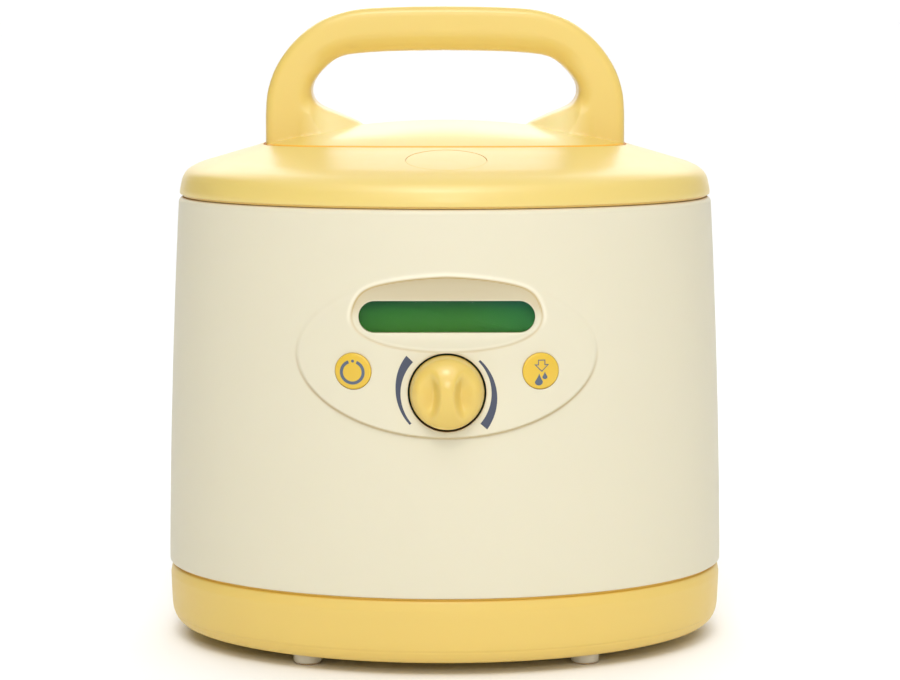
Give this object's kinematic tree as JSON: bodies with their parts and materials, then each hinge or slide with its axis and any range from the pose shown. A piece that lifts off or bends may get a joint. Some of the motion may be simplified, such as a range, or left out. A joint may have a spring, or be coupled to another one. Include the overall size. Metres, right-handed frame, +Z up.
{
  "type": "electric breast pump",
  "caption": "Oval electric breast pump: hinged lid with carrying handle, front display, keys and vacuum dial, and belt-driven membranes under the lid.",
  "frame": {"origin": "on the floor under the middle of the object's width and depth", "axes": "+Z up, +X to the right seen from the front, the control panel faces -Y"},
  "size_m": [0.2004, 0.172, 0.227],
  "materials": {
    "housing_shell": "fine moulded grain, soft satin",
    "yellow_plastic": "fine moulded grain, soft satin",
    "button_plastic": "smooth satin",
    "foot_clear": "clear soft plastic, slightly amber at the edge",
    "window_clear": "polished clear window",
    "lcd_green": "backlit character display, dark green",
    "circuit_board": "lacquered circuit board",
    "black_plastic": "moulded black plastic",
    "grey_plastic": "glass-filled grey plastic",
    "membrane_rubber": "soft silicone, matt",
    "steel": "turned and plated steel",
    "brass": "turned brass",
    "belt_rubber": "toothed rubber belt",
    "card_plastic": "moulded card, satin"
  },
  "bodies": {
    "housing_body": {"housing": "housing_shell", "base_tray": "yellow_plastic", "foot_front_left": "foot_clear", "foot_front_right": "foot_clear", "foot_rear_left": "foot_clear", "foot_rear_right": "foot_clear", "base_screw_1": "steel", "base_screw_2": "steel", "base_screw_3": "steel", "base_screw_4": "steel", "display_window": "window_clear", "lcd_module": "lcd_green", "display_board": "circuit_board", "encoder_body": "grey_plastic", "power_switch": "black_plastic", "letdown_switch": "black_plastic", "mains_inlet": "black_plastic", "inlet_pin_left": "brass", "inlet_pin_right": "brass", "card_connector": "black_plastic", "deck": "yellow_plastic", "membrane_left": "membrane_rubber", "membrane_ring_left": "housing_shell", "membrane_right": "membrane_rubber", "membrane_ring_right": "housing_shell", "deck_screw_1": "steel", "deck_screw_2": "steel", "deck_screw_3": "steel", "deck_screw_4": "steel", "latch_keeper": "steel", "hinge_bracket": "yellow_plastic", "hinge_pin": "steel", "chassis": "grey_plastic", "motor": "steel", "screw_bearing": "steel", "guide_rod_left": "steel", "guide_rod_right": "steel", "timing_belt": "belt_rubber", "battery_pack": "black_plastic", "power_supply": "circuit_board", "main_board": "circuit_board"},
    "lid_assembly": {"lid": "yellow_plastic", "handle": "yellow_plastic", "handle_screw_left": "steel", "handle_screw_right": "steel", "latch_spring": "steel"},
    "lid_button": {"release_button": "yellow_plastic"},
    "lid_latch": {"latch_slider": "grey_plastic"},
    "power_key": {"power_button": "button_plastic"},
    "letdown_key": {"letdown_button": "button_plastic"},
    "vacuum_dial": {"knob": "yellow_plastic", "encoder_shaft": "steel"},
    "pump_yoke": {"yoke": "grey_plastic", "screw_nut": "brass", "piston_left": "grey_plastic", "piston_right": "grey_plastic"},
    "lead_screw": {"drive_screw": "steel", "drive_pulley": "black_plastic"},
    "motor_rotor": {"motor_pulley": "steel"},
    "card": {"program_card": "card_plastic"}
  },
  "joints": [
    {"name": "lid_hinge", "type": "hinge", "parent": "housing_body", "child": "lid_assembly", "pos_m": [0, 0.0808, 0.1536], "axis": [-1, 0, 0], "range_deg": [0, 100]},
    {"name": "release_button_slide", "type": "slide", "parent": "lid_assembly", "child": "lid_button", "axis": [0, 0, -1], "range_m": [0, 0.0022], "stiffness_N_per_m": 1500, "springref_m": -0.002},
    {"name": "latch_slide", "type": "slide", "parent": "lid_assembly", "child": "lid_latch", "axis": [0, 1, 0], "range_m": [0, 0.00195], "deforming": ["latch_spring"]},
    {"name": "power_button_slide", "type": "slide", "parent": "housing_body", "child": "power_key", "axis": [0, 1, 0], "range_m": [0, 0.001], "stiffness_N_per_m": 1200, "springref_m": -0.0015},
    {"name": "letdown_button_slide", "type": "slide", "parent": "housing_body", "child": "letdown_key", "axis": [0, 1, 0], "range_m": [0, 0.001], "stiffness_N_per_m": 1200, "springref_m": -0.0015},
    {"name": "vacuum_knob_turn", "type": "hinge", "parent": "housing_body", "child": "vacuum_dial", "pos_m": [0, -0.0752, 0.098], "axis": [0, 1, 0], "continuous": true},
    {"name": "yoke_slide", "type": "slide", "parent": "housing_body", "child": "pump_yoke", "axis": [0, 0, -1], "range_m": [0, 0.007]},
    {"name": "lead_screw_turn", "type": "hinge", "parent": "housing_body", "child": "lead_screw", "pos_m": [0, -0.0002, 0.12], "axis": [0, 0, 1], "range_deg": [0, 158.5]},
    {"name": "motor_turn", "type": "hinge", "parent": "housing_body", "child": "motor_rotor", "pos_m": [0, 0.0428, 0.11], "axis": [0, 0, 1], "range_deg": [0, 365.93]},
    {"name": "program_card_slide", "type": "slide", "parent": "housing_body", "child": "card", "axis": [0, 1, 0], "range_m": [0, 0.032]}
  ],
  "couplings": [
    {"joint": "latch_slide", "follows": "release_button_slide", "ratio": 0.87},
    {"joint": "lead_screw_turn", "follows": "yoke_slide", "rad_per_m": 392.7},
    {"joint": "motor_turn", "follows": "yoke_slide", "rad_per_m": 904.91}
  ]
}
